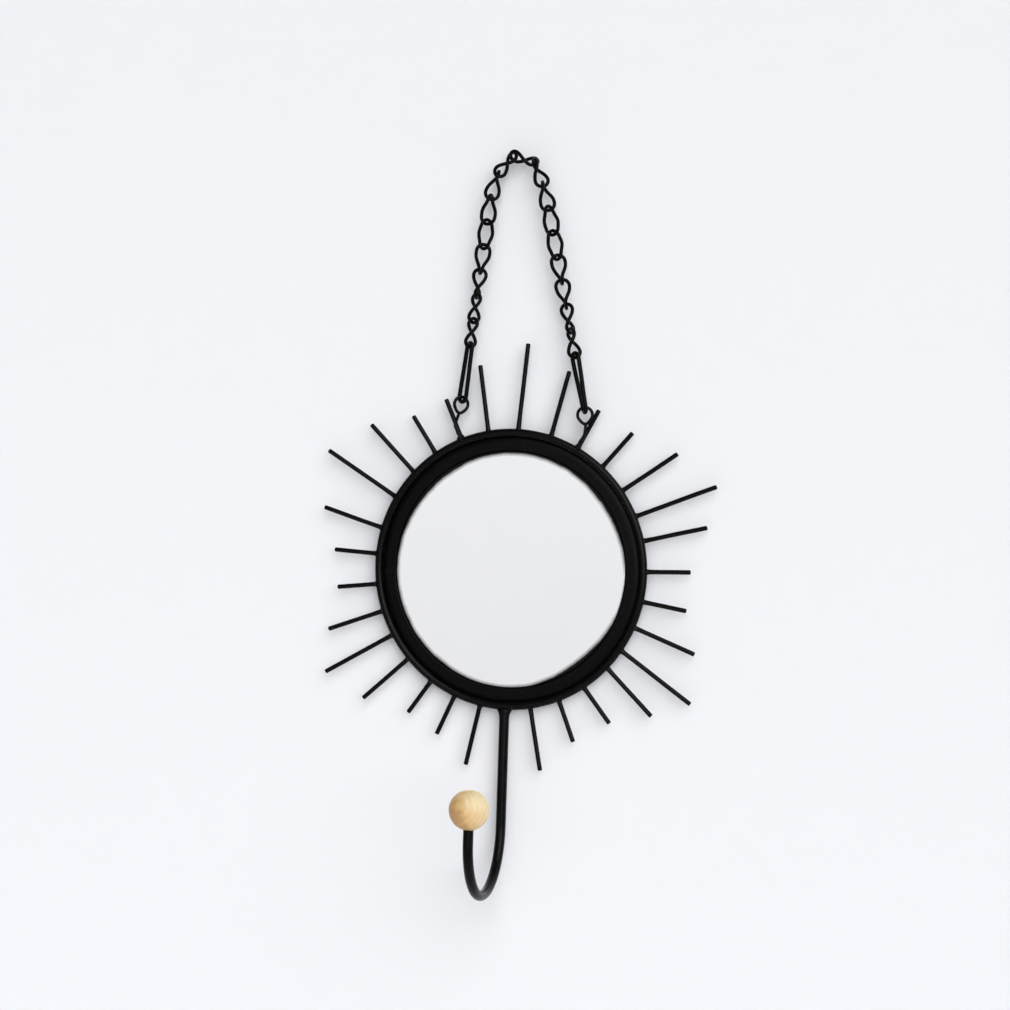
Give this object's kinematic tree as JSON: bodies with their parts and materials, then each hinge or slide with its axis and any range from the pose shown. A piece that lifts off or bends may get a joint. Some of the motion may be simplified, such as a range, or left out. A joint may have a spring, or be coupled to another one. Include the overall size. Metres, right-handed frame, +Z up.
{
  "type": "mirror with hooks",
  "caption": "Round wall mirror in a black sunburst wire frame, hung by a chain of twisted links, with a coat hook below that ends in a wooden ball.",
  "frame": {"origin": "the middle of the joint between the top link and the first left link of the chain, over the wall hook that holds it", "axes": "+Z up the wall, +Y into the wall, so the viewer stands at -Y, and +X to the viewer's right"},
  "size_m": [0.203, 0.074, 0.3703],
  "materials": {
    "frame_paint": "satin",
    "plate_paint": "satin",
    "chain_paint": "satin",
    "mirror": "polished",
    "foam": "matte",
    "hardboard": "matte",
    "bead_wood": "satin"
  },
  "bodies": {
    "hung_top": {"top_link": "chain_paint"},
    "link_pair_1": {"chain_link_left_1": "chain_paint", "chain_link_right_1": "chain_paint"},
    "link_pair_2": {"chain_link_left_2": "chain_paint", "chain_link_right_2": "chain_paint"},
    "link_pair_3": {"chain_link_left_3": "chain_paint", "chain_link_right_3": "chain_paint"},
    "link_pair_4": {"chain_link_left_4": "chain_paint", "chain_link_right_4": "chain_paint"},
    "link_pair_5": {"chain_link_left_5": "chain_paint", "chain_link_right_5": "chain_paint"},
    "link_pair_6": {"chain_link_left_6": "chain_paint", "chain_link_right_6": "chain_paint"},
    "link_pair_7": {"chain_link_left_7": "chain_paint", "chain_link_right_7": "chain_paint"},
    "link_pair_8": {"chain_link_left_8": "chain_paint", "chain_link_right_8": "chain_paint"},
    "connectors": {"connector_left": "chain_paint", "connector_right": "chain_paint"},
    "mirror_frame": {"outer_ring": "frame_paint", "front_plate": "plate_paint", "plate_tacks": "plate_paint", "mirror_glass": "mirror", "foam_pad": "foam", "backing_board": "hardboard", "coat_hook": "frame_paint", "wooden_ball": "bead_wood", "eyelet_left": "frame_paint", "eyelet_right": "frame_paint", "ray_01": "frame_paint", "ray_02": "frame_paint", "ray_03": "frame_paint", "ray_04": "frame_paint", "ray_05": "frame_paint", "ray_06": "frame_paint", "ray_07": "frame_paint", "ray_08": "frame_paint", "ray_09": "frame_paint", "ray_10": "frame_paint", "ray_11": "frame_paint", "ray_12": "frame_paint", "ray_13": "frame_paint", "ray_14": "frame_paint", "ray_15": "frame_paint", "ray_17": "frame_paint", "ray_18": "frame_paint", "ray_19": "frame_paint", "ray_20": "frame_paint", "ray_21": "frame_paint", "ray_22": "frame_paint", "ray_23": "frame_paint", "ray_24": "frame_paint", "ray_25": "frame_paint", "ray_26": "frame_paint", "ray_27": "frame_paint", "ray_28": "frame_paint", "ray_29": "frame_paint", "ray_30": "frame_paint"}
  },
  "joints": [
    {"name": "swing_link_pair_1", "type": "hinge", "parent": "hung_top", "child": "link_pair_1", "pos_m": [0.00546, 0, -0.00177], "axis": [-0.9511, 0, 0.309], "range_deg": [0, 8]},
    {"name": "swing_link_pair_2", "type": "hinge", "parent": "link_pair_1", "child": "link_pair_2", "pos_m": [0.00361, 0, -0.01167], "axis": [-0.9662, 0, 0.2578], "range_deg": [0, 10]},
    {"name": "swing_link_pair_3", "type": "hinge", "parent": "link_pair_2", "child": "link_pair_3", "pos_m": [0.00316, 0, -0.02355], "axis": [-0.9767, 0, 0.2144], "range_deg": [0, 10]},
    {"name": "swing_link_pair_4", "type": "hinge", "parent": "link_pair_3", "child": "link_pair_4", "pos_m": [0.00338, 0, -0.03583], "axis": [-0.9822, 0, 0.1879], "range_deg": [0, 10]},
    {"name": "swing_link_pair_5", "type": "hinge", "parent": "link_pair_4", "child": "link_pair_5", "pos_m": [0.00359, 0, -0.04811], "axis": [-0.986, 0, 0.1667], "range_deg": [0, 10]},
    {"name": "swing_link_pair_6", "type": "hinge", "parent": "link_pair_5", "child": "link_pair_6", "pos_m": [0.00381, 0, -0.06039], "axis": [-0.9888, 0, 0.1494], "range_deg": [0, 10]},
    {"name": "swing_link_pair_7", "type": "hinge", "parent": "link_pair_6", "child": "link_pair_7", "pos_m": [0.00402, 0, -0.07268], "axis": [-0.9908, 0, 0.1351], "range_deg": [0, 10]},
    {"name": "swing_link_pair_8", "type": "hinge", "parent": "link_pair_7", "child": "link_pair_8", "pos_m": [0.00423, 0, -0.08496], "axis": [-0.9924, 0, 0.123], "range_deg": [0, 10]},
    {"name": "swing_connectors", "type": "hinge", "parent": "link_pair_8", "child": "connectors", "pos_m": [0.00445, 0, -0.09724], "axis": [-0.9936, 0, 0.1126], "range_deg": [0, 10]},
    {"name": "swing_mirror_frame", "type": "hinge", "parent": "connectors", "child": "mirror_frame", "pos_m": [0.00492, 0, -0.12432], "axis": [-0.9955, 0, 0.0944], "range_deg": [0, 15]}
  ]
}
